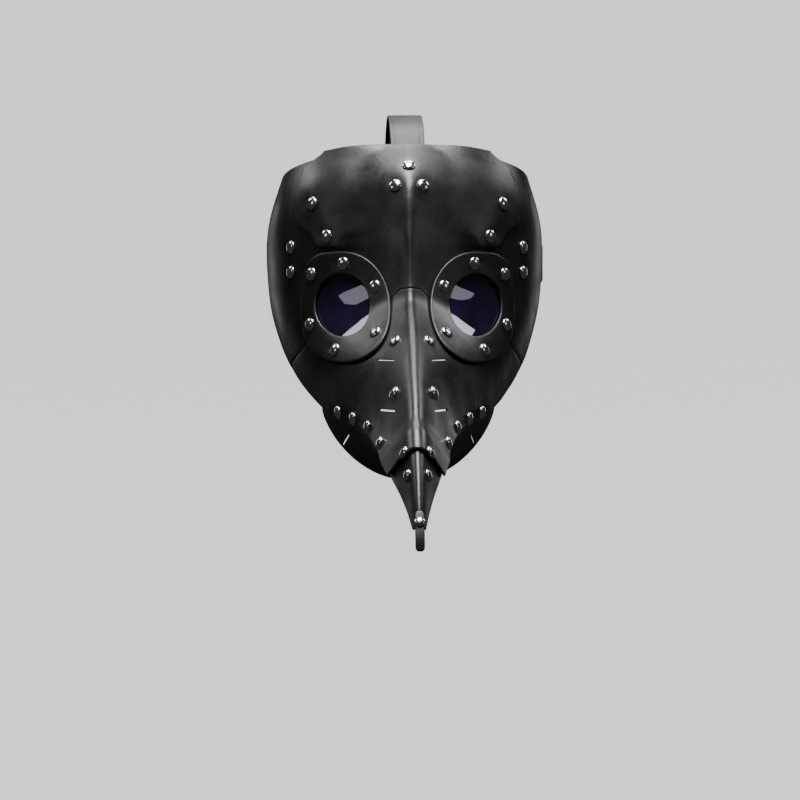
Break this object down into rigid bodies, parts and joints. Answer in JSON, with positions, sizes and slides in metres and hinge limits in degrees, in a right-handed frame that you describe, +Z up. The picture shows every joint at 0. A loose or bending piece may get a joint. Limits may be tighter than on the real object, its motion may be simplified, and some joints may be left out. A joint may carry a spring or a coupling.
{
  "type": "plague doctor mask",
  "caption": "Black leather plague doctor mask with a long drooping beak, riveted panels, round tinted eye lenses, breathing slits and a head harness with a roller buckle.",
  "frame": {"origin": "middle of the wearer's head at eye height, which is where the mask is held when worn", "axes": "+Z up, -Y the way the wearer looks and the beak points, +X towards the wearer's left, the side with the buckle"},
  "size_m": [0.1827, 0.3898, 0.266],
  "materials": {
    "leather": "smooth semi-gloss black",
    "strap_leather": "smooth satin black",
    "lining": "matt black reverse side",
    "lens": "glossy, dark violet tint",
    "chrome": "polished"
  },
  "bodies": {
    "mask": {"beak_tip_panel": "leather", "beak_tip_strip": "leather", "beak_upper_panel": "leather", "bridge_rivet_left_1": "chrome", "bridge_rivet_right_1": "chrome", "cheek_rivet_left_1": "chrome", "cheek_rivet_left_2": "chrome", "cheek_rivet_left_3": "chrome", "cheek_rivet_left_4": "chrome", "cheek_rivet_right_1": "chrome", "cheek_rivet_right_2": "chrome", "cheek_rivet_right_3": "chrome", "cheek_rivet_right_4": "chrome", "crown_rivet_left_2": "chrome", "crown_rivet_middle": "chrome", "crown_rivet_right_2": "chrome", "crown_strap": "strap_leather", "eye_ring_left": "leather", "eye_ring_right": "leather", "eye_rivet_left_1": "chrome", "eye_rivet_left_2": "chrome", "eye_rivet_left_3": "chrome", "eye_rivet_left_4": "chrome", "eye_rivet_left_5": "chrome", "eye_rivet_left_6": "chrome", "eye_rivet_right_1": "chrome", "eye_rivet_right_2": "chrome", "eye_rivet_right_3": "chrome", "eye_rivet_right_4": "chrome", "eye_rivet_right_5": "chrome", "eye_rivet_right_6": "chrome", "forehead_panel": "leather", "forehead_rivet_left_1": "chrome", "forehead_rivet_left_2": "chrome", "forehead_rivet_right_1": "chrome", "forehead_rivet_right_2": "chrome", "lens_backing_left": "lining", "lens_backing_right": "lining", "lens_left": "lens", "lens_right": "lens", "lower_beak_panel": "leather", "nostril_rivet_left_1": "chrome", "nostril_rivet_right_1": "chrome", "seam_lower_rivet_left_1": "chrome", "seam_lower_rivet_right_1": "chrome", "seam_upper_rivet_left_1": "chrome", "seam_upper_rivet_right_1": "chrome", "side_strap_left": "strap_leather", "side_strap_right": "strap_leather", "temple_panel_left": "leather", "temple_panel_right": "leather", "temple_rivet_left_1": "chrome", "temple_rivet_left_2": "chrome", "temple_rivet_right_1": "chrome", "temple_rivet_right_2": "chrome", "tip_rivet": "chrome"},
    "buckle": {"buckle_frame": "chrome"},
    "prong": {"buckle_prong": "chrome"},
    "roller": {"buckle_roller": "chrome"},
    "keeper": {"strap_keeper": "strap_leather"}
  },
  "joints": [
    {"name": "buckle_swing", "type": "hinge", "parent": "mask", "child": "buckle", "pos_m": [0.08427, 0.04876, 0.02361], "axis": [0, 0, -1], "range_deg": [-15, 70]},
    {"name": "prong_swing", "type": "hinge", "parent": "buckle", "child": "prong", "pos_m": [0.08427, 0.04876, 0.02361], "axis": [0, 0, -1], "range_deg": [0, 80]},
    {"name": "roller_spin", "type": "hinge", "parent": "buckle", "child": "roller", "pos_m": [0.07895, 0.06907, 0.02361], "axis": [0, 0, 1], "continuous": true},
    {"name": "keeper_slide", "type": "slide", "parent": "mask", "child": "keeper", "axis": [-0.0224, 0.996, -0.0863], "range_m": [-0.005, 0.01]}
  ]
}
